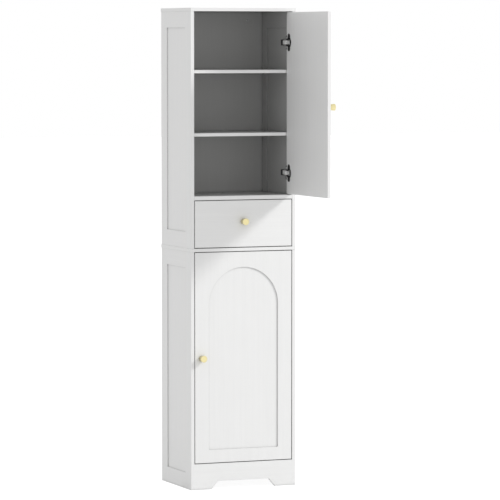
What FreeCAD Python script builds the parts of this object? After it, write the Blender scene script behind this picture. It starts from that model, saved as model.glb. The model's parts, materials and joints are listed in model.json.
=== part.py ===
import FreeCAD, Part
import Sketcher
import math
import os

# Tall bathroom cabinet: an upper unit with a door and open shelves above a drawer, standing
# on a lower unit with an arched door.  The sides are frames with thin infill panels.
# Axes: +X to the right seen from the front, the front looks along -Y, +Z is up.
# Origin: on the floor, in the middle of the back edge of the top panels.
# The upper door stands open by door_open_angle; the lower door and the drawer are shut.

DRIVING_SIZES = [
    ("overall_width", 400.0, "over the top panels"),
    ("overall_depth", 300.0, "over the top panels"),
    ("overall_height", 1700.0, "floor to the top of the upper unit"),
    ("lower_height", 854.5, "floor to the top of the lower unit"),
    ("top_overhang", 1.5, "the top panels stand proud of the sides by this much"),
    ("board", 12.0, "thickness of doors, fronts, frames, shelves and tops"),
    ("frame_width", 57.0, "face width of a stile or rail"),
    ("infill", 5.0, "thickness of the panel in a side frame"),
    ("groove_depth", 6.0, "depth of the groove round a side frame"),
    ("edge_ease", 0.8, "bevel on the edges of boards that are touched"),
    ("back_board", 3.0, "thickness of the back panels"),
    ("back_setback", 12.0, "back panel behind which the rails lie"),
    ("back_groove", 5.0, "depth of the groove that holds a back panel"),
    ("base_height", 92.0, "floor to the top of the apron"),
    ("arch_foot_width", 244.0, "width of the cut-out in the apron at the floor"),
    ("arch_foot_slant", 25.0, "how far each end of the cut-out leans in"),
    ("arch_foot_rise", 28.0, "height of the cut-out"),
    ("arch_foot_corner", 7.0, "radius of its two upper corners"),
    ("drawer_space", 170.0, "clear height of the drawer opening"),
    ("cover_board", 14.0, "thickness of the fixed shelf over the drawer"),
    ("top_shelf_rise", 443.5, "top face of the top shelf above the fixed shelf"),
    ("middle_shelf_rise", 221.5, "top face of the middle shelf above the fixed shelf"),
    ("lower_shelf_rise", 370.0, "top face of the shelf in the lower unit above its bottom"),
    ("shelf_setback", 3.0, "from the inside of a shut door to a shelf"),
    ("shelf_clearance", 0.5, "between a loose shelf and each side"),
    ("back_clearance", 1.5, "between a loose shelf and the back panel"),
    ("pin_radius", 2.5, "shelf pin"),
    ("pin_in", 8.0, "shelf pin inside the stile"),
    ("pin_out", 8.0, "shelf pin under the shelf"),
    ("dowel_radius", 4.0, "dowels between the two units"),
    ("dowel_up", 20.0, "dowel inside a stile of the upper unit"),
    ("dowel_down", 10.0, "dowel inside the top of the lower unit"),
    ("gap", 2.5, "gap all round a door or the drawer front"),
    ("door_open_angle", 90.0, "how far the upper door stands open"),
    ("pivot_from_cup", 13.1, "hinge pin from the middle of its cup, towards the hinge edge"),
    ("pivot_depth", 6.2, "hinge pin, below the inner face of the door"),
    ("recess_width", 264.0, "arched recess of the lower door"),
    ("recess_side_drop", 54.0, "top of the arch below the top of the door"),
    ("recess_bottom_rise", 46.0, "bottom of the recess above the bottom of the door"),
    ("recess_depth", 4.5, "depth of the arched recess"),
    ("recess_corner", 4.0, "radius of its two lower corners"),
    ("hinge_from_top", 107.0, "upper hinge below the top of its door"),
    ("hinge_from_bottom", 74.5, "lower hinge above the bottom of its door"),
    ("cup_radius", 17.5, "bore for the hinge cup"),
    ("cup_clearance", 0.15, "between the hinge cup and its bore"),
    ("cup_depth", 9.5, "depth of the hinge cup in the door"),
    ("cup_inset", 20.5, "cup centre from the hinge edge of the door"),
    ("cup_wall", 1.0, "sheet of the hinge cup"),
    ("cup_rim", 1.8, "round rim of the cup, outside its bore"),
    ("flange_height", 62.0, "cup flange, along the door, over its round ends"),
    ("flange_width", 21.0, "cup flange, across the door"),
    ("flange_sheet", 1.2, "sheet of the cup flange"),
    ("hinge_pin_radius", 1.2, "pin across the cup"),
    ("hinge_pin_inset", 0.12, "end of the pin inside the outside of the cup's wall"),
    ("hinge_pin_clearance", 0.05, "between the pin and the arm's eye"),
    ("eye_radius", 2.0, "eye of the arm, outside"),
    ("eye_width", 11.0, "eye of the arm, along the pin"),
    ("eye_shoulder", 4.0, "the arm is as narrow as its eye over this length"),
    ("hook_sheet", 1.8, "thickness of the arm's hook"),
    ("hook_reach", 11.1, "from the pin to the leg of the hook"),
    ("hook_rise", 11.6, "from the pin to the cross piece of the hook"),
    ("plate_reach", 37.0, "mounting plate's screw line behind the shut door"),
    ("plate_wing", 50.0, "mounting plate's wings, over their round ends"),
    ("plate_wing_width", 12.0, "width of the mounting plate's wings"),
    ("plate_sheet", 2.0, "thickness of the mounting plate"),
    ("plate_boss", 5.0, "height of the boss that the arm clips on"),
    ("plate_length", 60.0, "mounting plate along the depth of the cabinet"),
    ("plate_rear", 42.0, "rear of the mounting plate behind its screw line"),
    ("arm_height", 14.0, "hinge arm, up the cabinet"),
    ("arm_sheet", 1.4, "sheet of the hinge arm"),
    ("arm_clearance", 0.1, "between the arm's cheeks and the boss"),
    ("knob_length", 25.0, "knob from the door to its face"),
    ("knob_face_radius", 11.8, "face of the knob"),
    ("knob_foot_radius", 9.8, "foot of the knob"),
    ("knob_stud", 9.0, "stud of a knob, into its board"),
    ("knob_stud_radius", 2.0, "stud of a knob"),
    ("knob_stud_clearance", 0.1, "round the stud and at its end"),
    ("knob_inset", 25.0, "knob from the free edge of a door"),
    ("upper_knob_drop", 8.25, "knob below the middle of the upper door"),
    ("lower_knob_drop", 1.25, "knob below the middle of the lower door"),
    ("drawer_knob_rise", 7.5, "knob above the middle of the drawer front"),
    ("drawer_side_gap", 12.5, "drawer side to cabinet side, room for a runner"),
    ("drawer_length", 250.0, "drawer side from front to back"),
    ("drawer_side_height", 110.0, "height of a drawer side"),
    ("drawer_rise", 12.0, "drawer side above the bottom of the drawer front"),
    ("drawer_bottom_board", 3.0, "thickness of the drawer's bottom"),
    ("drawer_bottom_rise", 8.0, "bottom board above the bottom of a side"),
    ("runner_sheet", 1.2, "sheet of the runners"),
    ("runner_setback", 3.0, "cabinet runner behind the drawer front"),
    ("runner_drop", 2.1, "track of the cabinet runner below the flange under the drawer"),
    ("runner_hood_rise", 3.5, "top flange of the cabinet runner above the drawer's lip"),
    ("runner_hood_width", 5.8, "top flange of the cabinet runner"),
    ("runner_foot", 10.0, "flange under a drawer side"),
    ("runner_lip_gap", 0.5, "between the lip and the web of the cabinet runner"),
    ("roller_radius", 6.5, "rollers of the runners"),
    ("roller_width", 7.0, "rollers of the runners"),
    ("roller_inset", 2.0, "from a roller to the end of its runner"),
    ("roller_side_gap", 0.8, "between a roller and the web of the cabinet runner"),
    ("roller_clearance", 0.3, "between a roller and the track it runs on"),
    ("axle_radius", 2.0, "pins that the rollers turn on"),
    ("axle_clearance", 0.05, "between a roller and its pin"),
    ("axle_end", 0.4, "pin past the side of its roller"),
    ("wall_screw_radius", 2.75, "holes for the two screws into a wall"),
    ("wall_screw_span", 256.0, "between the two wall screws"),
    ("back_rail_height", 60.0, "height of the rail behind the upper back panel"),
]

doc = FreeCAD.newDocument("tall_bathroom_cabinet")
sheet = doc.addObject("Spreadsheet::Sheet", "sizes")


class Size:
    """A length that knows both its number and its formula over the cells of the sheet."""

    def __init__(self, number, formula):
        self.number = float(number)
        self.formula = formula

    def __add__(self, other):
        other = as_size(other)
        return Size(self.number + other.number, f"({self.formula} + {other.formula})")

    def __sub__(self, other):
        other = as_size(other)
        return Size(self.number - other.number, f"({self.formula} - {other.formula})")

    def __mul__(self, other):
        other = as_size(other)
        return Size(self.number * other.number, f"({self.formula} * {other.formula})")

    def __truediv__(self, other):
        other = as_size(other)
        return Size(self.number / other.number, f"({self.formula} / {other.formula})")

    def root(self):
        return Size(math.sqrt(self.number), f"sqrt({self.formula})")

    def __neg__(self):
        return Size(-self.number, f"(0 - {self.formula})")

    def __radd__(self, other):
        return as_size(other) + self

    def __rmul__(self, other):
        return as_size(other) * self


def as_size(value):
    return value if isinstance(value, Size) else Size(value, repr(float(value)))


def fill_sheet():
    """Write the driving sizes into the sheet and return them by name."""
    sizes = {}
    for row, (name, number, note) in enumerate(DRIVING_SIZES, 1):
        sheet.set(f"A{row}", name)
        sheet.set(f"B{row}", str(number))
        sheet.set(f"C{row}", note)
        sheet.setAlias(f"B{row}", name)
        sizes[name] = Size(number, f"sizes.{name}")
    doc.recompute()
    return sizes


S = fill_sheet()

# --- planes and levels that several pieces share -------------------------------------------

SIDE_OUT = S["overall_width"] / 2 - S["top_overhang"]
SIDE_IN = SIDE_OUT - S["board"]
BACK = -S["top_overhang"]
FRONT = S["top_overhang"] - S["overall_depth"]
DOOR_BACK = FRONT + S["board"]
BACK_PANEL_REAR = BACK - S["back_setback"]
BACK_PANEL_FACE = BACK_PANEL_REAR - S["back_board"]
SHELF_FRONT = DOOR_BACK + S["shelf_setback"]
SHELF_REAR = BACK_PANEL_FACE - S["back_clearance"]
UPPER_TOP = S["overall_height"] - S["board"]
LOWER_TOP = S["lower_height"] - S["board"]
COVER_BOTTOM = S["lower_height"] + S["drawer_space"]
COVER_TOP = COVER_BOTTOM + S["cover_board"]
FRONT_STILE_MIDDLE = FRONT + S["frame_width"] / 2
BACK_STILE_MIDDLE = BACK - S["frame_width"] / 2
DOOR_EDGE = SIDE_IN - S["gap"]
CUP_X = DOOR_EDGE - S["cup_inset"]
PIVOT_X = CUP_X + S["pivot_from_cup"]
PIVOT_Y = DOOR_BACK - S["pivot_depth"]
SCREW_LINE = DOOR_BACK + S["plate_reach"]
ARM_REAR = SCREW_LINE + S["plate_rear"]

DOOR_SPANS = {
    "upper": (COVER_TOP + S["gap"], UPPER_TOP - S["gap"]),
    "lower": (S["base_height"] + S["gap"], LOWER_TOP - S["gap"]),
}
HINGE_LEVELS = {unit: (top - S["hinge_from_top"], bottom + S["hinge_from_bottom"])
                for unit, (bottom, top) in DOOR_SPANS.items()}
DOOR_KNOB_LEVELS = {unit: (bottom + top) / 2 - S[f"{unit}_knob_drop"]
                    for unit, (bottom, top) in DOOR_SPANS.items()}
DRAWER_FRONT_SPAN = (S["lower_height"] + S["gap"], COVER_BOTTOM - S["gap"])
DRAWER_KNOB_LEVEL = (DRAWER_FRONT_SPAN[0] + DRAWER_FRONT_SPAN[1]) / 2 + S["drawer_knob_rise"]
SHELF_LEVELS = {
    "top_shelf": COVER_TOP + S["top_shelf_rise"],
    "middle_shelf": COVER_TOP + S["middle_shelf_rise"],
    "lower_shelf": S["base_height"] + S["lower_shelf_rise"],
}

nodes = []


# --- ways to make a piece -------------------------------------------------------------------

def bind(obj, prop, size):
    obj.setExpression(prop, as_size(size).formula)


def place(obj, x, y, z):
    """Put a piece at a point that follows the sheet."""
    for axis, size in zip("xyz", (x, y, z)):
        bind(obj, f"Placement.Base.{axis}", size)


def keep(obj, label):
    """Name a finished piece, which makes it a node."""
    obj.Label = label
    nodes.append(obj)
    return obj


def block(low, high):
    """A plain box between two corners."""
    box = doc.addObject("Part::Box", "block")
    for prop, start, end in zip(("Length", "Width", "Height"), low, high):
        bind(box, prop, as_size(end) - start)
    place(box, *low)
    return box


AXIS_TURNS = {
    "x": FreeCAD.Rotation(FreeCAD.Vector(0, 1, 0), 90),
    "y": FreeCAD.Rotation(FreeCAD.Vector(1, 0, 0), -90),
    "z": FreeCAD.Rotation(),
}


def rod(start, axis, length, radius):
    """A cylinder from a point, towards plus X, Y or Z."""
    cylinder = doc.addObject("Part::Cylinder", "rod")
    bind(cylinder, "Radius", radius)
    bind(cylinder, "Height", length)
    cylinder.Placement = FreeCAD.Placement(FreeCAD.Vector(), AXIS_TURNS[axis])
    place(cylinder, *start)
    return cylinder


def joined(pieces):
    fuse = doc.addObject("Part::MultiFuse", "joined")
    fuse.Shapes = pieces
    fuse.Refine = True
    return fuse


def cut(base, tools):
    """The base less every tool."""
    for tool in tools:
        result = doc.addObject("Part::Cut", "cut")
        result.Base = base
        result.Tool = tool
        result.Refine = True
        base = result
    return base


def group(pieces):
    """Separate solids that share one node."""
    compound = doc.addObject("Part::Compound", "group")
    compound.Links = pieces
    return compound


def origin_plane(body, role):
    return next(f for f in body.Origin.OriginFeatures if f.Role == role)


def new_sketch(body, role, offset=None):
    sketch = body.newObject("Sketcher::SketchObject", "sketch")
    sketch.AttachmentSupport = (origin_plane(body, role), [""])
    sketch.MapMode = "FlatFace"
    if offset is not None:
        bind(sketch, "AttachmentOffset.Base.z", offset)
    return sketch


def vector(x, y):
    return FreeCAD.Vector(as_size(x).number, as_size(y).number, 0)


def fix_point(sketch, line, x, y, name):
    """Hold the start of a line at a place that follows the sheet."""
    for axis, kind, size in (("x", "DistanceX", as_size(x)), ("y", "DistanceY", as_size(y))):
        if abs(size.number) < 1e-9:
            other = -2 if axis == "x" else -1
            sketch.addConstraint(Sketcher.Constraint("PointOnObject", line, 1, other))
            continue
        index = sketch.addConstraint(Sketcher.Constraint(kind, -1, 1, line, 1, size.number))
        sketch.renameConstraint(index, f"{name}_{axis}")
        bind(sketch, f"Constraints.{name}_{axis}", size)


def outline(sketch, points):
    """A closed outline of straight lines through points that follow the sheet."""
    count = len(points)
    for i in range(count):
        sketch.addGeometry(Part.LineSegment(vector(*points[i]), vector(*points[(i + 1) % count])))
    for i in range(count):
        sketch.addConstraint(Sketcher.Constraint("Coincident", i, 2, (i + 1) % count, 1))
    for i, point in enumerate(points):
        fix_point(sketch, i, *point, f"corner{i + 1}")


def rectangle(sketch, width, height):
    outline(sketch, [(0, 0), (width, 0), (width, height), (0, height)])


def new_body():
    return doc.addObject("PartDesign::Body", "body")


def pad(body, sketch, length):
    feature = body.newObject("PartDesign::Pad", "pad")
    feature.Profile = sketch
    bind(feature, "Length", length)
    return feature


def pocket(body, sketch, depth, backwards=False):
    feature = body.newObject("PartDesign::Pocket", "pocket")
    feature.Profile = sketch
    feature.Reversed = backwards
    bind(feature, "Length", depth)
    return feature


def edge_names(base, test):
    doc.recompute()
    return [f"Edge{i + 1}" for i, edge in enumerate(base.Shape.Edges) if test(edge)]


def ease(body, base, size, test):
    """Bevel the edges of a feature that pass a test."""
    feature = body.newObject("PartDesign::Chamfer", "ease")
    feature.Base = (base, edge_names(base, test))
    bind(feature, "Size", size)
    return feature


def round_off(body, base, radius, test):
    """Round the edges of a feature that pass a test."""
    feature = body.newObject("PartDesign::Fillet", "rounding")
    feature.Base = (base, edge_names(base, test))
    bind(feature, "Radius", radius)
    return feature


def padded_board(low, high, eased=None, test=lambda edge: True):
    """A board as a body: its outline seen from above, padded to its height."""
    body = new_body()
    sketch = new_sketch(body, "XY_Plane")
    rectangle(sketch, as_size(high[0]) - low[0], as_size(high[1]) - low[1])
    feature = pad(body, sketch, as_size(high[2]) - low[2])
    if eased is not None:
        ease(body, feature, eased, test)
    place(body, *low)
    return body


def drill(body, role, centres, radius, depth, offset=None, backwards=False):
    """Round holes into a body, from one of its own planes."""
    sketch = new_sketch(body, role, offset)
    for i, (x, y) in enumerate(centres):
        circle = Part.Circle(vector(x, y), FreeCAD.Vector(0, 0, 1), as_size(radius).number)
        sketch.addGeometry(circle)
        index = sketch.addConstraint(Sketcher.Constraint("Radius", i, as_size(radius).number))
        sketch.renameConstraint(index, f"hole{i + 1}")
        bind(sketch, f"Constraints.hole{i + 1}", radius)
        for axis, kind, size in (("x", "DistanceX", as_size(x)), ("y", "DistanceY", as_size(y))):
            spot = Sketcher.Constraint(kind, -1, 1, i, 3, size.number)
            index = sketch.addConstraint(spot)
            sketch.renameConstraint(index, f"hole{i + 1}_{axis}")
            bind(sketch, f"Constraints.hole{i + 1}_{axis}", size)
    return pocket(body, sketch, depth, backwards)


def front_edges(edge):
    """Edges that lie wholly on the face y = 0 of a padded board."""
    return all(abs(vertex.Point.y) < 1e-6 for vertex in edge.Vertexes)


def upright_at(edge, axes, spots):
    """Whether both ends of an edge fall on one of some points, seen along the third axis."""
    ends = [[getattr(vertex.Point, axis) for axis in axes] for vertex in edge.Vertexes]
    return len(ends) == 2 and any(math.dist(ends[0], spot) < 1e-6
                                  and math.dist(ends[1], spot) < 1e-6 for spot in spots)


# --- carcass --------------------------------------------------------------------------------

def shelf_pin_spots():
    """Where the shelf pins sit: (side, Y, Z), the side as +1 or -1."""
    spots = []
    for level in SHELF_LEVELS.values():
        for side in (-1, 1):
            for middle in (FRONT_STILE_MIDDLE, BACK_STILE_MIDDLE):
                spots.append((side, middle, level - S["board"] - S["pin_radius"]))
    return spots


def across(side, inner, outer):
    """The low and high X of something between two distances from the middle."""
    return (inner, outer) if side > 0 else (-as_size(outer), -as_size(inner))


def side_bar(side, low_y, high_y, low_z, high_z, tongue_ends=False, cuts=()):
    """A stile or rail of a side frame, with the groove that takes the infill panel."""
    x_low, x_high = across(side, SIDE_IN, SIDE_OUT)
    bar = block((x_low, low_y, low_z), (x_high, high_y, high_z))
    infill_in = SIDE_IN + (S["board"] - S["infill"]) / 2
    x_low, x_high = across(side, infill_in, infill_in + S["infill"])
    if tongue_ends:
        tongue = block((x_low, low_y - S["groove_depth"], low_z),
                       (x_high, high_y + S["groove_depth"], high_z))
        bar = joined([bar, tongue])
    grooves = [block((x_low, *low), (x_high, *high)) for low, high in cuts]
    return bar, grooves


def side_frame(unit, side, bottom, top):
    """Two stiles, two rails and an infill panel."""
    hand = "right" if side > 0 else "left"
    inner_front = FRONT + S["frame_width"]
    inner_back = BACK - S["frame_width"]
    inner_bottom = bottom + S["frame_width"]
    inner_top = top - S["frame_width"]
    deep = S["groove_depth"]

    bar, grooves = side_bar(side, FRONT, inner_front, bottom, top,
                            cuts=[((inner_front - deep, bottom), (inner_front, top))])
    holes = pin_holes(side, FRONT_STILE_MIDDLE, bottom, top)
    holes += dowel_holes(unit, side, FRONT_STILE_MIDDLE)
    keep(cut(bar, grooves + holes), f"{unit}_{hand}_front_stile")

    bar, grooves = side_bar(side, inner_back, BACK, bottom, top,
                            cuts=[((inner_back, bottom), (inner_back + deep, top))])
    holes = pin_holes(side, BACK_STILE_MIDDLE, bottom, top)
    holes += dowel_holes(unit, side, BACK_STILE_MIDDLE)
    x_low, x_high = across(side, SIDE_IN, SIDE_IN + S["back_groove"])
    holes.append(block((x_low, BACK_PANEL_FACE, bottom), (x_high, BACK_PANEL_REAR, top)))
    keep(cut(bar, grooves + holes), f"{unit}_{hand}_back_stile")

    bar, grooves = side_bar(side, inner_front, inner_back, bottom, inner_bottom,
                            tongue_ends=True,
                            cuts=[((inner_front - deep, inner_bottom - deep),
                                   (inner_back + deep, inner_bottom))])
    keep(cut(bar, grooves), f"{unit}_{hand}_bottom_rail")

    bar, grooves = side_bar(side, inner_front, inner_back, inner_top, top,
                            tongue_ends=True,
                            cuts=[((inner_front - deep, inner_top),
                                   (inner_back + deep, inner_top + deep))])
    keep(cut(bar, grooves), f"{unit}_{hand}_top_rail")

    infill_in = SIDE_IN + (S["board"] - S["infill"]) / 2
    x_low, x_high = across(side, infill_in, infill_in + S["infill"])
    panel = padded_board((x_low, inner_front - deep, inner_bottom - deep),
                         (x_high, inner_back + deep, inner_top + deep))
    keep(panel, f"{unit}_{hand}_infill_panel")


def pin_holes(side, middle, bottom, top):
    """Blind holes for the shelf pins that fall between two levels of a stile."""
    holes = []
    for pin_side, y, z in shelf_pin_spots():
        same_stile = pin_side == side and y.formula == middle.formula
        if same_stile and bottom.number < z.number < top.number:
            start = SIDE_IN if side > 0 else -(SIDE_IN + S["pin_in"])
            holes.append(rod((start, y, z), "x", S["pin_in"], S["pin_radius"]))
    return holes


def dowel_holes(unit, side, middle):
    """Holes in the feet of the upper stiles for the dowels from the lower unit."""
    if unit != "upper":
        return []
    x = side * (SIDE_IN + S["board"] / 2)
    return [rod((x, middle, S["lower_height"]), "z", S["dowel_up"], S["dowel_radius"])]


def top_panel(label, top):
    """A top that stands proud of the unit under it, with every edge eased."""
    half = S["overall_width"] / 2
    body = padded_board((-half, -S["overall_depth"], top - S["board"]), (half, 0, top),
                        S["edge_ease"])
    return keep(body, label)


def carcass():
    zero = Size(0.0, "0")
    for side in (-1, 1):
        side_frame("upper", side, S["lower_height"], UPPER_TOP)
        side_frame("lower", side, zero, LOWER_TOP)

    top_panel("upper_top_panel", S["overall_height"])
    lower_top = top_panel("lower_top_panel", S["lower_height"])
    spots = []
    for side in (-1, 1):
        for middle in (FRONT_STILE_MIDDLE, BACK_STILE_MIDDLE):
            spots.append((side * (SIDE_IN + S["board"] / 2) + S["overall_width"] / 2,
                          middle + S["overall_depth"]))
    drill(lower_top, "XY_Plane", spots, S["dowel_radius"], S["dowel_down"], offset=S["board"])
    dowels = []
    for side in (-1, 1):
        for middle in (FRONT_STILE_MIDDLE, BACK_STILE_MIDDLE):
            foot = (side * (SIDE_IN + S["board"] / 2), middle, S["lower_height"] - S["dowel_down"])
            dowels.append(rod(foot, "z", S["dowel_down"] + S["dowel_up"], S["dowel_radius"]))
    keep(group(dowels), "stacking_dowels")

    reach = SIDE_IN + S["back_groove"]
    upper_back = padded_board((-reach, BACK_PANEL_FACE, S["lower_height"]),
                              (reach, BACK_PANEL_REAR, UPPER_TOP))
    wall_holes = [(side * S["wall_screw_span"] / 2 + reach,
                   UPPER_TOP - S["back_rail_height"] / 2 - S["lower_height"]) for side in (-1, 1)]
    drill(upper_back, "XZ_Plane", wall_holes, S["wall_screw_radius"], S["back_board"])
    keep(upper_back, "upper_back_panel")
    keep(padded_board((-reach, BACK_PANEL_FACE, S["base_height"] - S["board"]),
                      (reach, BACK_PANEL_REAR, LOWER_TOP)), "lower_back_panel")

    rail = padded_board((-SIDE_IN, BACK_PANEL_REAR, UPPER_TOP - S["back_rail_height"]),
                        (SIDE_IN, BACK, UPPER_TOP))
    wall_holes = [(side * S["wall_screw_span"] / 2 + SIDE_IN, S["back_rail_height"] / 2)
                  for side in (-1, 1)]
    drill(rail, "XZ_Plane", wall_holes, S["wall_screw_radius"], S["back_setback"])
    keep(rail, "upper_back_rail")
    keep(padded_board((-SIDE_IN, BACK_PANEL_REAR, zero), (SIDE_IN, BACK, S["base_height"])),
         "rear_base_rail")

    keep(padded_board((-SIDE_IN, FRONT, COVER_BOTTOM), (SIDE_IN, BACK_PANEL_FACE, COVER_TOP),
                      S["edge_ease"], front_edges), "drawer_cover_shelf")
    keep(padded_board((-SIDE_IN, DOOR_BACK, S["base_height"] - S["board"]),
                      (SIDE_IN, BACK_PANEL_FACE, S["base_height"])), "lower_bottom_panel")

    half = SIDE_IN - S["shelf_clearance"]
    for label, level in SHELF_LEVELS.items():
        keep(padded_board((-half, SHELF_FRONT, level - S["board"]), (half, SHELF_REAR, level),
                          S["edge_ease"], front_edges), label)

    pins = []
    for side, y, z in shelf_pin_spots():
        start = SIDE_IN - S["pin_out"] if side > 0 else -(SIDE_IN + S["pin_in"])
        pins.append(rod((start, y, z), "x", S["pin_in"] + S["pin_out"], S["pin_radius"]))
    keep(group(pins), "shelf_pins")


def front_apron():
    """The board across the foot of the cabinet, with a low cut-out that leaves two feet."""
    body = new_body()
    sketch = new_sketch(body, "XZ_Plane")
    foot = S["arch_foot_width"] / 2
    crown = foot - S["arch_foot_slant"]
    rise = S["arch_foot_rise"]
    outline(sketch, [(-SIDE_IN, 0), (-foot, 0), (-crown, rise), (crown, rise), (foot, 0),
                     (SIDE_IN, 0), (SIDE_IN, S["base_height"]), (-SIDE_IN, S["base_height"])])
    feature = pad(body, sketch, S["board"])
    feature.Reversed = True
    round_off(body, feature, S["arch_foot_corner"],
              lambda edge: upright_at(edge, "xz", {(-crown.number, rise.number),
                                                   (crown.number, rise.number)}))
    place(body, 0, FRONT, 0)
    keep(body, "front_apron")


# --- doors and drawer -----------------------------------------------------------------------

def swung(obj, closed_low, angle):
    """Place a piece that belongs to the upper door, turned about the door's pivot."""
    pivot = FreeCAD.Vector(PIVOT_X.number, PIVOT_Y.number, 0)
    turn = FreeCAD.Placement(FreeCAD.Vector(), FreeCAD.Rotation(FreeCAD.Vector(0, 0, 1), angle),
                             pivot)
    shut = FreeCAD.Placement(FreeCAD.Vector(*[as_size(v).number for v in closed_low]),
                             obj.Placement.Rotation)
    obj.Placement = turn.multiply(shut)


def door(bottom, top, knob_level, hinge_levels, recessed):
    """A door as a body whose own origin is its lower free-edge corner on the outer face."""
    body = new_body()
    sketch = new_sketch(body, "XY_Plane")
    width = DOOR_EDGE * 2
    rectangle(sketch, width, S["board"])
    feature = pad(body, sketch, top - bottom)
    feature = ease(body, feature, S["edge_ease"], lambda edge: True)
    cups = [(width - S["cup_inset"], level - bottom) for level in hinge_levels]
    drill(body, "XZ_Plane", cups, S["cup_radius"], S["cup_depth"], offset=-S["board"],
          backwards=True)
    drill_for_knob(body, S["knob_inset"], knob_level - bottom)
    if recessed:
        arched_recess(body, width, top - bottom)
    return body


def arched_recess(body, width, height):
    """A shallow recess with a half-round head, cut into the outer face of a door."""
    sketch = new_sketch(body, "XZ_Plane")
    radius = S["recess_width"] / 2
    middle = width / 2
    left, right = middle - radius, middle + radius
    spring = height - S["recess_side_drop"] - radius
    low = S["recess_bottom_rise"]
    centre = vector(middle, spring)
    sketch.addGeometry(Part.LineSegment(vector(left, spring), vector(left, low)))
    sketch.addGeometry(Part.LineSegment(vector(left, low), vector(right, low)))
    sketch.addGeometry(Part.LineSegment(vector(right, low), vector(right, spring)))
    circle = Part.Circle(centre, FreeCAD.Vector(0, 0, 1), radius.number)
    sketch.addGeometry(Part.ArcOfCircle(circle, 0, math.pi))
    for line in (0, 1):
        sketch.addConstraint(Sketcher.Constraint("Coincident", line, 2, line + 1, 1))
    sketch.addConstraint(Sketcher.Constraint("Coincident", 2, 2, 3, 1))
    sketch.addConstraint(Sketcher.Constraint("Coincident", 3, 2, 0, 1))
    fix_point(sketch, 0, left, spring, "spring_left")
    fix_point(sketch, 1, left, low, "low_left")
    fix_point(sketch, 2, right, low, "low_right")
    for axis, kind, size in (("x", "DistanceX", middle), ("y", "DistanceY", spring)):
        index = sketch.addConstraint(Sketcher.Constraint(kind, -1, 1, 3, 3, size.number))
        sketch.renameConstraint(index, f"centre_{axis}")
        bind(sketch, f"Constraints.centre_{axis}", size)
    feature = pocket(body, sketch, S["recess_depth"])
    round_off(body, feature, S["recess_corner"],
              lambda edge: upright_at(edge, "xz", {(left.number, low.number),
                                                   (right.number, low.number)}))


def drawer():
    """A front on a box of two sides, a back and a thin bottom held in grooves."""
    front_low, front_high = DRAWER_FRONT_SPAN
    front = padded_board((-DOOR_EDGE, FRONT, front_low), (DOOR_EDGE, DOOR_BACK, front_high),
                         S["edge_ease"])
    drill_for_knob(front, DOOR_EDGE, DRAWER_KNOB_LEVEL - front_low)

    out = SIDE_IN - S["drawer_side_gap"]
    inside = out - S["board"]
    low = front_low + S["drawer_rise"]
    high = low + S["drawer_side_height"]
    rear = DOOR_BACK + S["drawer_length"]
    bottom_low = low + S["drawer_bottom_rise"]
    bottom_high = bottom_low + S["drawer_bottom_board"]
    slot = S["groove_depth"]
    groove_low = (-(inside + slot), DOOR_BACK - slot, bottom_low)
    groove_high = (inside + slot, rear, bottom_high)
    keep(cut(front, [block(groove_low, groove_high)]), "drawer_front")
    for side, hand in ((-1, "left"), (1, "right")):
        x_low, x_high = across(side, inside, out)
        board = block((x_low, DOOR_BACK, low), (x_high, rear, high))
        keep(cut(board, [block(groove_low, groove_high)]), f"drawer_{hand}_side")
    keep(padded_board((-inside, rear - S["board"], bottom_high), (inside, rear, high)),
         "drawer_back")
    keep(padded_board(groove_low, groove_high), "drawer_bottom")
    return low, rear


def knob():
    """A turned drum that widens towards its face, on a stud; it points along -Y."""
    body = new_body()
    sketch = new_sketch(body, "XY_Plane")
    face, bevel = S["knob_face_radius"], S["edge_ease"]
    stud = S["knob_stud_radius"]
    outline(sketch, [(0, S["knob_stud"]), (stud, S["knob_stud"]), (stud, 0),
                     (S["knob_foot_radius"], 0), (face, bevel - S["knob_length"]),
                     (face - bevel, -S["knob_length"]), (0, -S["knob_length"])])
    turned = body.newObject("PartDesign::Revolution", "turned")
    turned.Profile = sketch
    turned.ReferenceAxis = (sketch, ["V_Axis"])
    turned.Angle = 360
    return body


def drill_for_knob(body, x, z):
    """The blind hole for a knob's stud, from the outer face of a board."""
    drill(body, "XZ_Plane", [(x, z)], S["knob_stud_radius"] + S["knob_stud_clearance"],
          S["knob_stud"] + S["knob_stud_clearance"])


# --- concealed hinges -----------------------------------------------------------------------
# Each hinge has one pin across a cup let into the door.  A sheet arm on the cabinet side
# hooks round the edge of the door and into the cup, and its eye turns on that pin.

def hinge_cup(level):
    """A pressed cup with a round rim and a long flange, as it sits in a shut door."""
    sheet_face = DOOR_BACK + S["flange_sheet"]
    depth = S["cup_depth"] + S["flange_sheet"]
    bottom = DOOR_BACK - S["cup_depth"]
    outer_radius = S["cup_radius"] - S["cup_clearance"]
    outer = rod((CUP_X, bottom, level), "y", depth, outer_radius)
    rim = rod((CUP_X, DOOR_BACK, level), "y", S["flange_sheet"], S["cup_radius"] + S["cup_rim"])
    half_width = S["flange_width"] / 2
    ear = S["flange_height"] / 2 - half_width
    flange = block((CUP_X - half_width, DOOR_BACK, level - ear),
                   (CUP_X + half_width, sheet_face, level + ear))
    ears = [rod((CUP_X, DOOR_BACK, level + side * ear), "y", S["flange_sheet"], half_width)
            for side in (-1, 1)]
    hollow = rod((CUP_X, bottom + S["cup_wall"], level), "y", depth,
                 outer_radius - S["cup_wall"])
    return cut(joined([outer, rim, flange] + ears), [hollow, hinge_pin(level)])


def hinge_pin(level):
    """The pin that the arm's eye turns on, held in the wall of the cup at both ends."""
    cup = S["cup_radius"] - S["cup_clearance"]
    far = S["pivot_from_cup"] + S["hinge_pin_radius"]
    half = (cup * cup - far * far).root() - S["hinge_pin_inset"]
    return rod((PIVOT_X, PIVOT_Y, level - half), "z", half * 2, S["hinge_pin_radius"])


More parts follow.
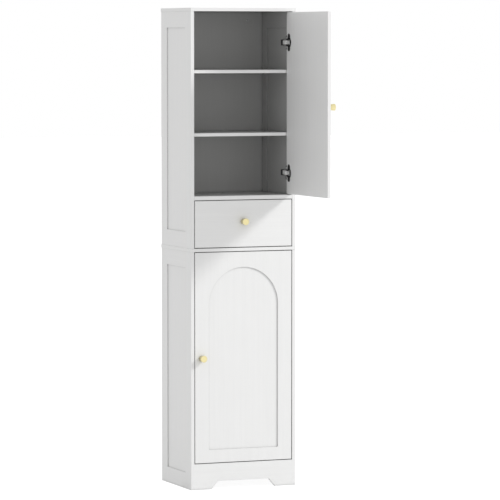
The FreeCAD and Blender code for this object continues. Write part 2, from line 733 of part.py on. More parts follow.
def hinge_plate(level):
    """A cross-shaped plate screwed to the cabinet side, with a boss for the arm."""
    face = SIDE_IN - S["plate_sheet"]
    half_width = S["plate_wing_width"] / 2
    tip = S["plate_wing"] / 2 - half_width
    half_core = S["arm_height"] / 2 - S["arm_sheet"] - S["arm_clearance"]
    wings = block((face, SCREW_LINE - half_width, level - tip),
                  (SIDE_IN, SCREW_LINE + half_width, level + tip))
    tips = [rod((face, SCREW_LINE, level + side * tip), "x", S["plate_sheet"], half_width)
            for side in (-1, 1)]
    boss = block((SIDE_IN - S["plate_boss"], ARM_REAR - S["plate_length"], level - half_core),
                 (SIDE_IN, ARM_REAR, level + half_core))
    return joined([wings, boss] + tips)


def hinge_arm(level):
    """A strip that runs from its eye on the pin, out of the cup, round the edge of the door
    and back along the cabinet side, where two cheeks make it a channel over the boss."""
    half = S["arm_height"] / 2
    half_hook = S["hook_sheet"] / 2
    web_in = SIDE_IN - S["plate_boss"] - S["arm_sheet"]
    leg_in = PIVOT_X - S["hook_reach"]
    leg_out = leg_in - S["hook_sheet"]
    cross_low = PIVOT_Y + S["hook_rise"]
    cross_high = cross_low + S["hook_sheet"]
    web_out = web_in + S["arm_sheet"]

    body = new_body()
    sketch = new_sketch(body, "XY_Plane")
    outline(sketch, [(PIVOT_X, PIVOT_Y - half_hook), (leg_out, PIVOT_Y - half_hook),
                     (leg_out, cross_high), (web_in, cross_high), (web_in, ARM_REAR),
                     (web_out, ARM_REAR), (web_out, cross_low), (leg_in, cross_low),
                     (leg_in, PIVOT_Y + half_hook), (PIVOT_X, PIVOT_Y + half_hook)])
    feature = pad(body, sketch, S["arm_height"])
    bends = {(leg_out.number, (PIVOT_Y - half_hook).number),
             (leg_out.number, cross_high.number), (web_out.number, cross_low.number)}
    round_off(body, feature, S["hook_sheet"], lambda edge: upright_at(edge, "xy", bends))
    place(body, 0, 0, level - half)

    half_eye = S["eye_width"] / 2
    eye = rod((PIVOT_X, PIVOT_Y, level - half_eye), "z", half_eye * 2, S["eye_radius"])
    cheeks = [block((web_out, cross_high, low),
                    (SIDE_IN - S["plate_sheet"], ARM_REAR, low + S["arm_sheet"]))
              for low in (level - half, level + half - S["arm_sheet"])]
    shoulders = [block((PIVOT_X - S["eye_shoulder"], PIVOT_Y - half_hook, low),
                       (PIVOT_X, PIVOT_Y + half_hook, high))
                 for low, high in ((level - half, level - half_eye),
                                   (level + half_eye, level + half))]
    bore = rod((PIVOT_X, PIVOT_Y, level - half), "z", half * 2,
               S["hinge_pin_radius"] + S["hinge_pin_clearance"])
    return cut(joined([cut(body, shoulders), eye] + cheeks), [bore])


# --- drawer runners -------------------------------------------------------------------------

def drawer_runners(drawer_low, rear):
    """Steel runners: a channel on each cabinet side and an angle on each drawer side."""
    thick = S["runner_sheet"]
    track = drawer_low - thick - S["runner_drop"]
    axle = track + S["roller_clearance"] + S["roller_radius"]
    lip = axle + S["roller_radius"] + S["roller_clearance"]
    hood = lip + S["runner_hood_rise"]
    drawer_out = SIDE_IN - S["drawer_side_gap"]
    web = SIDE_IN - thick
    front = DOOR_BACK + S["runner_setback"]
    roller_out = web - S["roller_side_gap"]
    roller_in = roller_out - S["roller_width"]
    track_in = roller_in - S["axle_end"]
    front_axle = front + S["roller_inset"] + S["roller_radius"]
    rear_axle = rear - S["roller_inset"] - S["roller_radius"]
    bore = S["axle_radius"] + S["axle_clearance"]
    cabinet_side, drawer_side, cabinet_rollers, drawer_rollers = [], [], [], []
    for side in (-1, 1):
        def strip(inner, outer, low_y, low_z, high_z, side=side):
            x_low, x_high = across(side, inner, outer)
            return block((x_low, low_y, low_z), (x_high, rear, high_z))

        def spindle(inner, outer, y, radius, side=side):
            x_low, x_high = across(side, inner, outer)
            return rod((x_low, y, axle), "x", as_size(x_high) - x_low, radius)

        def roller(y):
            return cut(spindle(roller_in, roller_out, y, S["roller_radius"]),
                       [spindle(roller_in, roller_out, y, bore)])

        cabinet_side.append(joined([
            strip(web, SIDE_IN, front, track - thick, hood + thick),
            strip(track_in, SIDE_IN, front, track - thick, track),
            strip(web - S["runner_hood_width"], SIDE_IN, front, hood, hood + thick),
            spindle(track_in, web, front_axle, S["axle_radius"])]))
        drawer_side.append(joined([
            strip(drawer_out, drawer_out + thick, DOOR_BACK, drawer_low - thick, lip + thick),
            strip(drawer_out - S["runner_foot"], drawer_out + thick, DOOR_BACK,
                  drawer_low - thick, drawer_low),
            strip(drawer_out, web - S["runner_lip_gap"], DOOR_BACK, lip, lip + thick),
            spindle(drawer_out + thick, roller_out + S["axle_end"], rear_axle,
                    S["axle_radius"])]))
        cabinet_rollers.append(roller(front_axle))
        drawer_rollers.append(roller(rear_axle))
    keep(group(cabinet_side), "cabinet_runners")
    keep(group(drawer_side), "drawer_runners")
    keep(group(cabinet_rollers), "cabinet_runner_rollers")
    keep(group(drawer_rollers), "drawer_runner_rollers")


# --- the whole cabinet ----------------------------------------------------------------------

def doors_and_hinges():
    """Two doors, each with its knob and a pair of hinges; the upper one stands open."""
    angle = S["door_open_angle"].number
    for unit, (bottom, top) in DOOR_SPANS.items():
        levels = HINGE_LEVELS[unit]
        origin = (0, 0, 0)
        on_door = [
            (door(bottom, top, DOOR_KNOB_LEVELS[unit], levels, recessed=unit == "lower"),
             (-DOOR_EDGE, FRONT, bottom), f"{unit}_door"),
            (knob(), (S["knob_inset"] - DOOR_EDGE, FRONT, DOOR_KNOB_LEVELS[unit]),
             f"{unit}_door_knob"),
            (group([hinge_cup(level) for level in levels]), origin, f"{unit}_door_hinge_cups"),
            (group([hinge_pin(level) for level in levels]), origin, f"{unit}_door_hinge_pins"),
        ]
        for piece, spot, label in on_door:
            if unit == "upper":
                swung(piece, spot, angle)
            else:
                place(piece, *spot)
            keep(piece, label)
        keep(group([hinge_plate(level) for level in levels]), f"{unit}_door_hinge_plates")
        keep(group([hinge_arm(level) for level in levels]), f"{unit}_door_hinge_arms")


def build():
    carcass()
    front_apron()
    doors_and_hinges()
    drawer_low, rear = drawer()
    handle = knob()
    place(handle, 0, FRONT, DRAWER_KNOB_LEVEL)
    keep(handle, "drawer_knob")
    drawer_runners(drawer_low, rear)
    doc.recompute()


def check_and_write():
    """Refuse a failed feature or a bad shape, then write one file for each node."""
    for obj in doc.Objects:
        if "Invalid" in obj.State or "Error" in obj.State:
            raise RuntimeError(f"{obj.Name} ({obj.Label}) failed: {obj.State}")
    os.makedirs("parts", exist_ok=True)
    for node in nodes:
        shape = node.Shape
        if shape.isNull() or not shape.isValid() or not shape.Solids:
            raise RuntimeError(f"{node.Label} has no valid solid")
        shape.exportStep(f"parts/{node.Label}.step")
    print(f"{len(nodes)} nodes written")


build()
check_and_write()
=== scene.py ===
import json
import math

import bmesh
import bpy
from mathutils import Matrix, Vector


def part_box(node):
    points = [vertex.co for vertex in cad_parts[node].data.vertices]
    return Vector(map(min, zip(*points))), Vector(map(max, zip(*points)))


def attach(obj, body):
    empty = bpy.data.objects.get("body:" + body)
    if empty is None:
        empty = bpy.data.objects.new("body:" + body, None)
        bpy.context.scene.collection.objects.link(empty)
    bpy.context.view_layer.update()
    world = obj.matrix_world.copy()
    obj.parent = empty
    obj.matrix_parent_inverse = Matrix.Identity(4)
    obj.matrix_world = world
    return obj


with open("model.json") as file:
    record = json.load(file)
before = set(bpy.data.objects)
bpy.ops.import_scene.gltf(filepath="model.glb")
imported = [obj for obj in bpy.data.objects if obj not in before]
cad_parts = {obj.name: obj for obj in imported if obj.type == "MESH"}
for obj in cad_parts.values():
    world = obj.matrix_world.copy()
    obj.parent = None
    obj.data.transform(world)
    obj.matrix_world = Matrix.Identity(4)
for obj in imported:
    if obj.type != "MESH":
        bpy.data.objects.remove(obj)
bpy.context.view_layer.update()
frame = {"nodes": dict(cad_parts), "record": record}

NODES = frame["nodes"]
CARCASS = frame["record"]["behaviour"]["bodies"]["carcass"]
MM = 0.001
X, Y, Z = range(3)
LOW, HIGH = range(2)


# --- shader nodes ---------------------------------------------------------------------------

class Net:
    """A node tree with short ways to add and join nodes."""

    def __init__(self, tree):
        self.tree = tree

    def add(self, kind, sockets=None, **settings):
        """A new node with its settings made and its sockets fed: {name or place: value}."""
        node = self.tree.nodes.new(kind)
        for name, value in settings.items():
            setattr(node, name, value)
        for socket, value in (sockets or {}).items():
            self.feed(node.inputs[socket], value)
        return node

    def feed(self, socket, value):
        """Join an output to a socket, or set a constant on it."""
        if isinstance(value, bpy.types.NodeSocket):
            self.tree.links.new(value, socket)
        else:
            socket.default_value = value

    def maths(self, operation, first, second=0.0, clamp=False):
        node = self.add("ShaderNodeMath", {0: first, 1: second}, operation=operation,
                        use_clamp=clamp)
        return node.outputs[0]

    def plus(self, first, second):
        return self.maths("ADD", first, second)

    def times(self, first, second):
        return self.maths("MULTIPLY", first, second)

    def noise(self, vector, scale, detail=2.0, roughness=0.5):
        node = self.add("ShaderNodeTexNoise", {"Vector": vector, "Scale": scale,
                                               "Detail": detail, "Roughness": roughness})
        return node.outputs["Fac"]

    def stretched(self, vector, scale):
        """A vector scaled by a different amount along each axis."""
        node = self.add("ShaderNodeMapping", {"Vector": vector, "Scale": scale})
        return node.outputs["Vector"]

    def spread(self, value, low, high, end=1.0):
        """A value between 0 and end turned into one between low and high."""
        node = self.add("ShaderNodeMapRange", {"Value": value, "From Max": end,
                                               "To Min": low, "To Max": high})
        return node.outputs["Result"]

    def parts(self, vector):
        """The three parts of a vector, by the name of their axis."""
        return self.add("ShaderNodeSeparateXYZ", {0: vector}).outputs

    def blend(self, factor, first, second):
        """A colour between two others."""
        node = self.add("ShaderNodeMixRGB", {"Fac": factor, "Color1": first, "Color2": second})
        return node.outputs["Color"]

    def tint(self, colour, amount):
        """A colour made lighter or darker."""
        node = self.add("ShaderNodeVectorMath", {0: colour, "Scale": amount}, operation="SCALE")
        return node.outputs[0]


def cleared(owner):
    """The emptied node tree of a material or a world."""
    owner.use_nodes = True
    owner.node_tree.nodes.clear()
    return Net(owner.node_tree)


# --- shader groups --------------------------------------------------------------------------

WHITE = (1.0, 1.0, 1.0, 1.0)
VECTOR = ("NodeSocketVector", None)
COLOUR = ("NodeSocketColor", WHITE)
SURFACE_OUTPUTS = {"Color": "NodeSocketColor", "Roughness": "NodeSocketFloat",
                   "Height": "NodeSocketFloat"}

# Sprayed paint: how fine each noise is, what it adds, and the least and most it gives.
FIBRE_SCALE = 1.0
STREAK_SCALE = 0.22
PEEL_SCALE = 900.0
DRIFT_SCALE = 7.0
DRIFT_SHARE = 0.3
PEEL_SHARE = 0.2
PAINT_SHADES = (0.94, 1.06)
PAINT_GLOSSES = (0.85, 1.15)

# The same for marks in metal.
MARK_SCALE = 1.0
CLOUD_SCALE = 90.0
MARK_SHARE = 0.6
CLOUD_SHARE = 0.4
METAL_SHADES = (0.88, 1.1)
METAL_GLOSSES = (0.8, 1.25)

CORNER_CURVE = 2.0


def number(default):
    """A plain number socket for a group."""
    return ("NodeSocketFloat", default)


def new_group(name, inputs, outputs):
    """An empty shader group with named sockets: {name: (kind, default)} and {name: kind}."""
    tree = bpy.data.node_groups.new(name, "ShaderNodeTree")
    for socket, (kind, default) in inputs.items():
        item = tree.interface.new_socket(socket, in_out="INPUT", socket_type=kind)
        if default is not None:
            item.default_value = default
    for socket, kind in outputs.items():
        tree.interface.new_socket(socket, in_out="OUTPUT", socket_type=kind)
    net = Net(tree)
    return net, net.add("NodeGroupInput").outputs, net.add("NodeGroupOutput").inputs


def lacquer_group():
    """Sprayed paint on board: wood grain that the paint almost levels, and very fine peel.

    Stretched follows the grain of the board, and Place is the plain place on the piece."""
    net, given, result = new_group(
        "sprayed_lacquer",
        {"Stretched": VECTOR, "Place": VECTOR, "Paint": COLOUR, "Grain": number(0.5),
         "Roughness": number(0.4)},
        SURFACE_OUTPUTS)
    fibres = net.noise(given["Stretched"], FIBRE_SCALE, detail=3.0, roughness=0.6)
    streaks = net.noise(given["Stretched"], STREAK_SCALE)
    peel = net.noise(given["Place"], PEEL_SCALE, detail=1.0)
    drift = net.noise(given["Place"], DRIFT_SCALE)
    grain = net.times(net.plus(fibres, streaks), given["Grain"])
    shade = net.spread(net.plus(grain, net.times(drift, DRIFT_SHARE)), *PAINT_SHADES,
                       end=1.0 + DRIFT_SHARE)
    gloss = net.times(net.spread(drift, *PAINT_GLOSSES), given["Roughness"])
    net.feed(result["Color"], net.tint(given["Paint"], shade))
    net.feed(result["Roughness"], gloss)
    net.feed(result["Height"], net.plus(grain, net.times(peel, PEEL_SHARE)))
    return net.tree


def scratch_group():
    """Fine marks that brushing or turning leaves in metal, and faint clouds in its colour.

    Stretched follows the marks, and Place is the plain place on the piece."""
    net, given, result = new_group(
        "brushed_marks",
        {"Stretched": VECTOR, "Place": VECTOR, "Metal": COLOUR, "Roughness": number(0.3)},
        SURFACE_OUTPUTS)
    marks = net.noise(given["Stretched"], MARK_SCALE, detail=4.0, roughness=0.7)
    clouds = net.noise(given["Place"], CLOUD_SCALE)
    shade = net.spread(net.plus(net.times(marks, MARK_SHARE), net.times(clouds, CLOUD_SHARE)),
                       *METAL_SHADES)
    gloss = net.times(net.spread(marks, *METAL_GLOSSES), given["Roughness"])
    net.feed(result["Color"], net.tint(given["Metal"], shade))
    net.feed(result["Roughness"], gloss)
    net.feed(result["Height"], marks)
    return net.tree


def corner_shade_group():
    """Painted shade: a colour darkened by Depth where Openness is low, as in narrow corners and
    gaps.
    """
    net, given, result = new_group(
        "painted_corner_shade",
        {"Color": COLOUR, "Openness": number(1.0), "Depth": number(0.5)},
        {"Color": "NodeSocketColor"})
    shut = net.maths("POWER", net.maths("SUBTRACT", 1.0, given["Openness"]), CORNER_CURVE)
    kept = net.maths("SUBTRACT", 1.0, net.times(shut, given["Depth"]))
    net.feed(result["Color"], net.tint(given["Color"], kept))
    return net.tree


def inside_shade_group():
    """One colour inside a box and another outside it: grey painted shade on the faces inside
    the carcass.
    """
    net, given, result = new_group(
        "painted_inside_shade",
        {"Place": VECTOR, "Low": VECTOR, "High": VECTOR, "Outside": COLOUR, "Inside": COLOUR},
        {"Color": "NodeSocketColor"})
    place, low, high = (net.parts(given[name]) for name in ("Place", "Low", "High"))
    inside = 1.0
    for axis in "XYZ":
        above = net.maths("GREATER_THAN", place[axis], low[axis])
        below = net.maths("LESS_THAN", place[axis], high[axis])
        inside = net.times(net.times(above, below), inside)
    net.feed(result["Color"], net.blend(inside, given["Outside"], given["Inside"]))
    return net.tree


LACQUER = lacquer_group()
MARKS = scratch_group()
CORNER_SHADE_TREE = corner_shade_group()
INSIDE_SHADE_TREE = inside_shade_group()


# --- materials ------------------------------------------------------------------------------

# A hair's margin round the box inside the carcass that gets the grey painted shade.
SHADE_BOX_MARGIN = 0.25 * MM
# How far the painted shade in corners and gaps reaches.
CORNER_REACH = 12 * MM
# Painted shade reaches further on the knobs, so their flanks beside the fronts come out darker.
KNOB_REACH = 22 * MM
CORNER_SAMPLES = 6
RELIEF = 0.1 * MM


def inside_of_carcass():
    """The low and high corner of the space inside the carcass, a hair larger all round."""
    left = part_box("lower_left_infill_panel")[HIGH][X]
    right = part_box("lower_right_infill_panel")[LOW][X]
    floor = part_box("lower_bottom_panel")[HIGH][Z]
    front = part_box("top_shelf")[LOW][Y]
    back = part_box("upper_back_panel")[LOW][Y]
    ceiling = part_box("upper_top_panel")[LOW][Z]
    return ((left - SHADE_BOX_MARGIN, front + SHADE_BOX_MARGIN, floor - SHADE_BOX_MARGIN),
            (right + SHADE_BOX_MARGIN, back + SHADE_BOX_MARGIN, ceiling + SHADE_BOX_MARGIN))


INSIDE = inside_of_carcass()


def rings(net, place, centre, axis):
    """Distance from an axis and place along it, for marks that run round a turned piece."""
    shifted = net.add("ShaderNodeVectorMath", {0: place, 1: centre}, operation="SUBTRACT")
    parts = net.parts(shifted.outputs[0])
    squares = [net.maths("POWER", parts[name], 2.0) for name in "XYZ" if name != axis]
    radius = net.maths("SQRT", net.plus(*squares))
    return net.add("ShaderNodeCombineXYZ", {"X": radius, "Y": parts[axis]}).outputs[0]


def shaded_inside(net, place, outside, inside):
    """Paint that changes to a grey painted shade where a board faces the inside of the carcass.
    """
    low, high = INSIDE
    group = net.add("ShaderNodeGroup", {"Place": place, "Low": low, "High": high,
                                        "Outside": outside, "Inside": inside},
                    node_tree=INSIDE_SHADE_TREE)
    return group.outputs["Color"]


def with_corner_shade(net, colour, depth, reach):
    """Painted shade: a colour made darker in corners and gaps that are narrower than about the
    reach.
    """
    openness = net.add("ShaderNodeAmbientOcclusion", {"Distance": reach},
                       samples=CORNER_SAMPLES)
    group = net.add("ShaderNodeGroup", {"Color": colour, "Openness": openness.outputs["AO"],
                                        "Depth": depth}, node_tree=CORNER_SHADE_TREE)
    return group.outputs["Color"]


def material(name, group, stretch, inputs, bump, metallic=0.0, corners=1.0,
             reach=CORNER_REACH, turned_about=None, inside_shade=None):
    """A material whose colour, gloss and bump come from a group on Object coordinates; its
    colour carries painted shade in corners and gaps, and grey painted shade inside the carcass
    where that grey is given.
    """
    made = bpy.data.materials.new(name)
    net = cleared(made)
    place = net.add("ShaderNodeTexCoord").outputs["Object"]
    along = rings(net, place, *turned_about) if turned_about else place
    surface = net.add("ShaderNodeGroup", {"Place": place,
                                          "Stretched": net.stretched(along, stretch), **inputs},
                      node_tree=group)
    # Painted shade: grey takes the place of the paint on faces inside the carcass.
    if inside_shade:
        net.feed(surface.inputs["Paint"], shaded_inside(net, place, inputs["Paint"], inside_shade))
    relief = net.add("ShaderNodeBump", {"Strength": bump, "Distance": RELIEF,
                                        "Height": surface.outputs["Height"]})
    shader = net.add("ShaderNodeBsdfPrincipled", {
        "Base Color": with_corner_shade(net, surface.outputs["Color"], corners, reach),
        "Roughness": surface.outputs["Roughness"],
        "Metallic": metallic,
        "Normal": relief.outputs["Normal"]})
    net.add("ShaderNodeOutputMaterial", {"Surface": shader.outputs["BSDF"]})
    return made


# --- finishes -------------------------------------------------------------------------------

WHITE_PAINT = (0.86, 0.86, 0.855, 1.0)
# Grey painted shade for the inside of the carcass; the back board is this grey all over.
INSIDE_SHADE_GREY = (0.48, 0.48, 0.475, 1.0)
BLACKENED = (0.022, 0.022, 0.024, 1.0)
ZINC_GREY = (0.88, 0.88, 0.87, 1.0)
STEEL_GREY = (0.72, 0.72, 0.72, 1.0)
POWDER_WHITE = (0.80, 0.80, 0.79, 1.0)
NYLON_WHITE = (0.74, 0.74, 0.72, 1.0)
BEECH_BROWN = (0.55, 0.36, 0.20, 1.0)
PALE_BRASS = (0.76, 0.675, 0.372, 1.0)

# Marks per metre: across and along the way they run, or the same in every direction.
PAINTED_GRAIN = (420.0, 9.0)
BEECH_GRAIN = (500.0, 30.0)
BRUSHED = (700.0, 60.0)
DRAWN = (900.0, 60.0)
MOULDED = (900.0, 900.0)
TURNED = (2600.0, 2600.0, 1.0)

# The way the grain of a board runs, by the longest side of its box.
GRAINS = {"level": "X", "deep": "Y", "upright": "Z"}


def running(direction, marks):
    """The stretch for marks that run along X, Y or Z."""
    across, along = marks
    return [along if axis == direction else across for axis in "XYZ"]


def painted(name, direction, paint=WHITE_PAINT, inside_shade=None):
    """Satin paint on board, its grain running along X, Y or Z; a grey, where given, is painted
    shade on its faces inside the carcass.
    """
    return material(name, LACQUER, running(direction, PAINTED_GRAIN),
                    {"Paint": paint, "Grain": 0.5, "Roughness": 0.42}, bump=0.25, inside_shade=inside_shade)


def even(name, paint, roughness, bump):
    """A moulded or powder coated surface, alike in every direction."""
    return material(name, LACQUER, running("Z", MOULDED),
                    {"Paint": paint, "Grain": 0.2, "Roughness": roughness}, bump=bump)


def metal(name, colour, stretch, roughness, bump, metallic=1.0, **others):
    """A metal with fine marks in it."""
    return material(name, MARKS, stretch, {"Metal": colour, "Roughness": roughness}, bump=bump,
                    metallic=metallic, **others)


PAINTED = {way: painted(f"white_paint_{way}", axis) for way, axis in GRAINS.items()}
# Carcass boards: white paint outside, grey painted shade on their faces inside the carcass.
INSIDE_SHADED_PAINT = {way: painted(f"white_paint_{way}_lined", axis, inside_shade=INSIDE_SHADE_GREY)
               for way, axis in GRAINS.items()}
BACK_BOARD = painted("grey_back_board", "Z", paint=INSIDE_SHADE_GREY)
DARK_STEEL = metal("blackened_steel", BLACKENED, running("Z", BRUSHED), roughness=0.4,
                   bump=0.08, metallic=0.3)
# The zinc gets less painted shade in its corners than the other finishes.
ZINC = metal("satin_zinc", ZINC_GREY, running("Y", BRUSHED), roughness=0.42, bump=0.06,
             metallic=0.15, corners=0.35)
BARE_STEEL = metal("bright_steel", STEEL_GREY, running("Z", DRAWN), roughness=0.25, bump=0.05)
WHITE_STEEL = even("white_powder_coat", POWDER_WHITE, roughness=0.5, bump=0.3)
NYLON = even("white_nylon", NYLON_WHITE, roughness=0.45, bump=0.1)
BEECH = material("beech", LACQUER, running("Z", BEECH_GRAIN),
                 {"Paint": BEECH_BROWN, "Grain": 0.9, "Roughness": 0.6}, bump=0.4)
PLAIN_FINISHES = {"hinge_nickel": ZINC, "pin_steel": BARE_STEEL, "beech": BEECH,
                  "roller_nylon": NYLON, "runner_paint": WHITE_STEEL}


def box_of(node):
    """The low and the high corner of a node's box."""
    return [Vector(corner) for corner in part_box(node)]


def knob_brass(node, axis):
    """Pale brass with marks that run round the knob's own axis, and painted shade that darkens
    its flank beside the front.
    """
    low, high = box_of(node)
    centre = tuple((low + high) / 2)
    return metal(f"turned_brass_{node}", PALE_BRASS, TURNED, roughness=0.3, bump=0.12,
                 reach=KNOB_REACH, turned_about=(centre, axis))


def grain_of(node):
    """The way the grain of a painted board runs."""
    low, high = box_of(node)
    size = high - low
    return list(GRAINS)[max((X, Y, Z), key=lambda axis: size[axis])]


def finish_of(node, slot):
    """The finish of a CAD piece, from its slot or, where that doesn't tell, from its name."""
    if node.endswith("_back_panel"):
        return BACK_BOARD
    if slot == "white_paint":
        family = INSIDE_SHADED_PAINT if node in CARCASS else PAINTED
        return family[grain_of(node)]
    if slot == "knob_brass":
        return knob_brass(node, "X" if node == "upper_door_knob" else "Y")
    if node.endswith(("hinge_cups", "hinge_plates")):
        return DARK_STEEL
    return PLAIN_FINISHES[slot]


def finish_nodes():
    """Gives every CAD piece its finish."""
    slots = {part["node"]: part["material_slot"] for part in frame["record"]["subparts"]}
    for name, piece in NODES.items():
        piece.data.materials.clear()
        piece.data.materials.append(finish_of(name, slots[name]))


finish_nodes()


# --- small hinge pieces ---------------------------------------------------------------------

SCREW_SIDES = 16
CUP_SCREW = (3.2 * MM, 1.0 * MM)
PLATE_SCREW = (3.6 * MM, 1.3 * MM)
ARM_SCREW = (3.4 * MM, 1.0 * MM)

# Shares of a screw head's height, then of its radius.
HEAD_ROUNDING = 0.45
RECESS_DEPTH = 0.6
HEAD_RIM = 0.28
BLADE_LENGTH = 0.38

FLANGE_HALF = 31 * MM
CUP_SCREW_RISE = 24 * MM
WING_HALF = 25 * MM
WING_SHEET = 2 * MM
SCREW_LINE_FROM_REAR = 42 * MM
PLATE_SCREW_RISE = 16 * MM
ARM_HALF = 7 * MM
ARM_SHEET = 1.4 * MM
ARM_SCREW_PLACES = (30 * MM, 56 * MM)

LEVER_LENGTH = 21 * MM
LEVER_WALL = 0.9 * MM
LEVER_DEPTH = 3.4 * MM
LEVER_ROUNDING = 0.5 * MM

OUT_OF_SIDE = Vector((-1, 0, 0))
OUT_OF_SHUT_DOOR = Vector((0, 1, 0))
AS_GOOD_AS_LEVEL = 1e-6


def rounded(form, edges, radius, segments):
    """Rounds edges of a form."""
    bmesh.ops.bevel(form, geom=edges, offset=radius, offset_type="OFFSET", segments=segments,
                    profile=0.5, affect="EDGES", material=-1, clamp_overlap=True)


def pulled(form, faces, way, keep=False):
    """Faces drawn out of a form, or pushed into it."""
    drawn = bmesh.ops.extrude_face_region(form, geom=faces, use_keep_orig=keep)
    moved = [item for item in drawn["geom"] if isinstance(item, bmesh.types.BMVert)]
    bmesh.ops.translate(form, vec=way, verts=moved)
    bmesh.ops.recalc_face_normals(form, faces=form.faces)


def angle_round_z(face):
    """How far round the z axis a face lies."""
    middle = face.calc_center_median()
    return math.atan2(middle.y, middle.x)


def cross_head(radius, height):
    """A low screw head with a rounded rim and a cross recess; it stands on z = 0."""
    form = bmesh.new()
    bmesh.ops.create_cone(form, cap_ends=True, segments=SCREW_SIDES, radius1=radius,
                          radius2=radius, depth=height)
    bmesh.ops.translate(form, vec=(0, 0, height / 2), verts=form.verts)
    rim = [edge for edge in form.edges if all(v.co.z > height / 2 for v in edge.verts)]
    rounded(form, rim, height * HEAD_ROUNDING, segments=2)
    top = max(form.faces, key=lambda face: face.calc_center_median().z)
    bmesh.ops.inset_region(form, faces=[top], thickness=radius * HEAD_RIM)
    before = set(form.faces)
    bmesh.ops.inset_region(form, faces=[top], thickness=radius * BLADE_LENGTH)
    ring = sorted((face for face in form.faces if face not in before), key=angle_round_z)
    blades = ring[::SCREW_SIDES // 4]
    pulled(form, [top] + blades, (0, 0, -height * RECESS_DEPTH))
    return form


def release_lever():
    """The channel that clips over the rear end of an arm; its back is on z = 0, facing +Z."""
    form = bmesh.new()
    outer = ARM_HALF + LEVER_WALL
    section = [(-outer, LEVER_WALL), (outer, LEVER_WALL), (outer, -LEVER_DEPTH),
               (ARM_HALF, -LEVER_DEPTH), (ARM_HALF, 0), (-ARM_HALF, 0),
               (-ARM_HALF, -LEVER_DEPTH), (-outer, -LEVER_DEPTH)]
    end = form.faces.new([form.verts.new((x, -LEVER_LENGTH / 2, z)) for x, z in section])
    pulled(form, [end], (0, LEVER_LENGTH, 0), keep=True)
    back = [edge for edge in form.edges
            if all(abs(v.co.z - LEVER_WALL) < AS_GOOD_AS_LEVEL for v in edge.verts)]
    rounded(form, back, LEVER_ROUNDING, segments=3)
    return form


def new_mesh(name, form):
    """A mesh made of a form, which is then freed."""
    mesh = bpy.data.meshes.new(name)
    form.to_mesh(mesh)
    form.free()
    return mesh


def new_object(name, data):
    """An object of its own in the scene."""
    made = bpy.data.objects.new(name, data)
    bpy.context.scene.collection.objects.link(made)
    return made


def set_down(name, pattern, spots, outward, body, finish):
    """One piece: a small form repeated at several spots, its +Z turned to face outward."""
    side = Vector((0, 0, 1)).cross(outward)
    turn = Matrix((side, side.cross(outward) * -1, outward)).transposed().to_4x4()
    small = new_mesh(f"{name}_pattern", pattern)
    whole = bmesh.new()
    for spot in spots:
        whole.from_mesh(small)
        whole.verts.ensure_lookup_table()
        bmesh.ops.transform(whole, matrix=Matrix.Translation(spot) @ turn,
                            verts=whole.verts[-len(small.vertices):])
    bpy.data.meshes.remove(small)
    mesh = new_mesh(name, whole)
    mesh.materials.append(finish)
    piece = new_object(name, mesh)
    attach(piece, body)


def both_levels(low, high, inset):
    """The levels of the two hinges of a door, from the box of a node that holds both."""
    return (low.z + inset, high.z - inset)


def either_side(levels, rise):
    """The heights a rise below and a rise above each level."""
    return [level + way * rise for level in levels for way in (-1, 1)]


def hinge_pieces(unit):
    """Screws of the cups, plates and arms of one door, and the levers of its arms."""
    door = f"{unit}_door"
    low, high = box_of(f"{door}_hinge_cups")
    middle = (low + high) / 2
    if unit == "upper":
        x, y, outward = low.x, middle.y, OUT_OF_SIDE
    else:
        x, y, outward = middle.x, high.y, OUT_OF_SHUT_DOOR
    levels = both_levels(low, high, FLANGE_HALF)
    spots = [Vector((x, y, z)) for z in either_side(levels, CUP_SCREW_RISE)]
    set_down(f"{door}_cup_screws", cross_head(*CUP_SCREW), spots, outward, door, DARK_STEEL)

    low, high = box_of(f"{door}_hinge_plates")
    rear = high.y
    levels = both_levels(low, high, WING_HALF)
    spots = [Vector((high.x - WING_SHEET, rear - SCREW_LINE_FROM_REAR, z))
             for z in either_side(levels, PLATE_SCREW_RISE)]
    set_down(f"{door}_plate_screws", cross_head(*PLATE_SCREW), spots, OUT_OF_SIDE, "carcass",
             BARE_STEEL)

    web = low.x - ARM_SHEET
    spots = [Vector((web, rear - place, level)) for level in levels
             for place in ARM_SCREW_PLACES]
    set_down(f"{door}_arm_screws", cross_head(*ARM_SCREW), spots, OUT_OF_SIDE, "carcass", ZINC)
    spots = [Vector((web, rear + LEVER_WALL - LEVER_LENGTH / 2, level)) for level in levels]
    set_down(f"{door}_release_levers", release_lever(), spots, OUT_OF_SIDE, "carcass",
             DARK_STEEL)


hinge_pieces("upper")
hinge_pieces("lower")


# --- camera, light and floor ----------------------------------------------------------------

# The camera is far off at the front left, where a fit to the cabinet's corners puts it.
CAMERA_PLACE = (-4.3165, -11.0755, 1.5830)
CAMERA_TILT = 86.3672
CAMERA_TURN = -21.9815
LENS = 236.853
SENSOR = 36.0
SIDE_SHIFT = -0.0047
SIGHT_END = 60.0

SOFT_LIGHT = 0.73
KEY_POWER = 600.0
KEY_SIZE = 1.8
KEY_PLACE = Vector((8.0, -6.78, 7.19))
KEY_TARGET = Vector((0.2, -0.3, 0.95))

FLOOR_HALF = 40.0
FLOOR_GREY = (0.80, 0.80, 0.80, 1.0)
SEEN_FLOOR_GREY = (0.30, 0.30, 0.30, 1.0)
FLOOR_GLOW = 0.94
FLOOR_ROUGHNESS = 0.9


def set_camera():
    """The camera at the photograph's angle."""
    lens = bpy.data.cameras.new("studio_camera")
    lens.sensor_width = SENSOR
    lens.lens = LENS
    lens.shift_x = SIDE_SHIFT
    lens.clip_end = SIGHT_END
    camera = new_object("studio_camera", lens)
    camera.location = CAMERA_PLACE
    camera.rotation_euler = (math.radians(CAMERA_TILT), 0, math.radians(CAMERA_TURN))
    bpy.context.scene.camera = camera


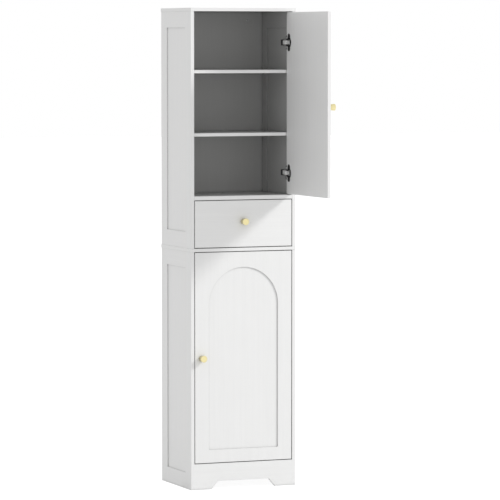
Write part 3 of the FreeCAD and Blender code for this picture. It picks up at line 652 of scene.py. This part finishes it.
def seen_directly(net):
    """1 for rays from the camera and for what metal and glass show, else 0."""
    rays = net.add("ShaderNodeLightPath").outputs
    seen = net.plus(rays["Is Camera Ray"], rays["Is Glossy Ray"])
    return net.maths("ADD", seen, rays["Is Transmission Ray"], clamp=True)


def set_world():
    """Soft light that comes evenly from all round; where it is seen it is plain white."""
    world = bpy.data.worlds.new("white_studio")
    bpy.context.scene.world = world
    net = cleared(world)
    strength = net.spread(seen_directly(net), SOFT_LIGHT, 1.0)
    backdrop = net.add("ShaderNodeBackground", {"Color": WHITE, "Strength": strength})
    net.add("ShaderNodeOutputWorld", {"Surface": backdrop.outputs["Background"]})


def add_key_light():
    """One lamp, high and far off at the front right."""
    light = bpy.data.lights.new("key", "AREA")
    light.energy = KEY_POWER
    light.size = KEY_SIZE
    lamp = new_object("key", light)
    lamp.location = KEY_PLACE
    lamp.rotation_euler = (KEY_TARGET - KEY_PLACE).to_track_quat("-Z", "Y").to_euler()


def floor_finish():
    """Pale grey to the light, and almost white with a shadow on it where it is seen."""
    made = bpy.data.materials.new("pale_floor")
    net = cleared(made)
    plain = net.add("ShaderNodeBsdfPrincipled", {"Base Color": FLOOR_GREY,
                                                 "Roughness": FLOOR_ROUGHNESS})
    seen = net.add("ShaderNodeBsdfPrincipled", {"Base Color": SEEN_FLOOR_GREY,
                                                "Roughness": FLOOR_ROUGHNESS,
                                                "Emission Color": WHITE,
                                                "Emission Strength": FLOOR_GLOW})
    mix = net.add("ShaderNodeMixShader", {"Fac": seen_directly(net), 1: plain.outputs["BSDF"],
                                          2: seen.outputs["BSDF"]})
    net.add("ShaderNodeOutputMaterial", {"Surface": mix.outputs["Shader"]})
    return made


def add_floor():
    """A wide, level floor at z = 0."""
    form = bmesh.new()
    bmesh.ops.create_grid(form, x_segments=1, y_segments=1, size=FLOOR_HALF)
    mesh = new_mesh("floor", form)
    mesh.materials.append(floor_finish())
    floor = new_object("floor", mesh)


set_camera()
set_world()
add_key_light()
add_floor()

bpy.context.scene.view_settings.view_transform = "Standard"
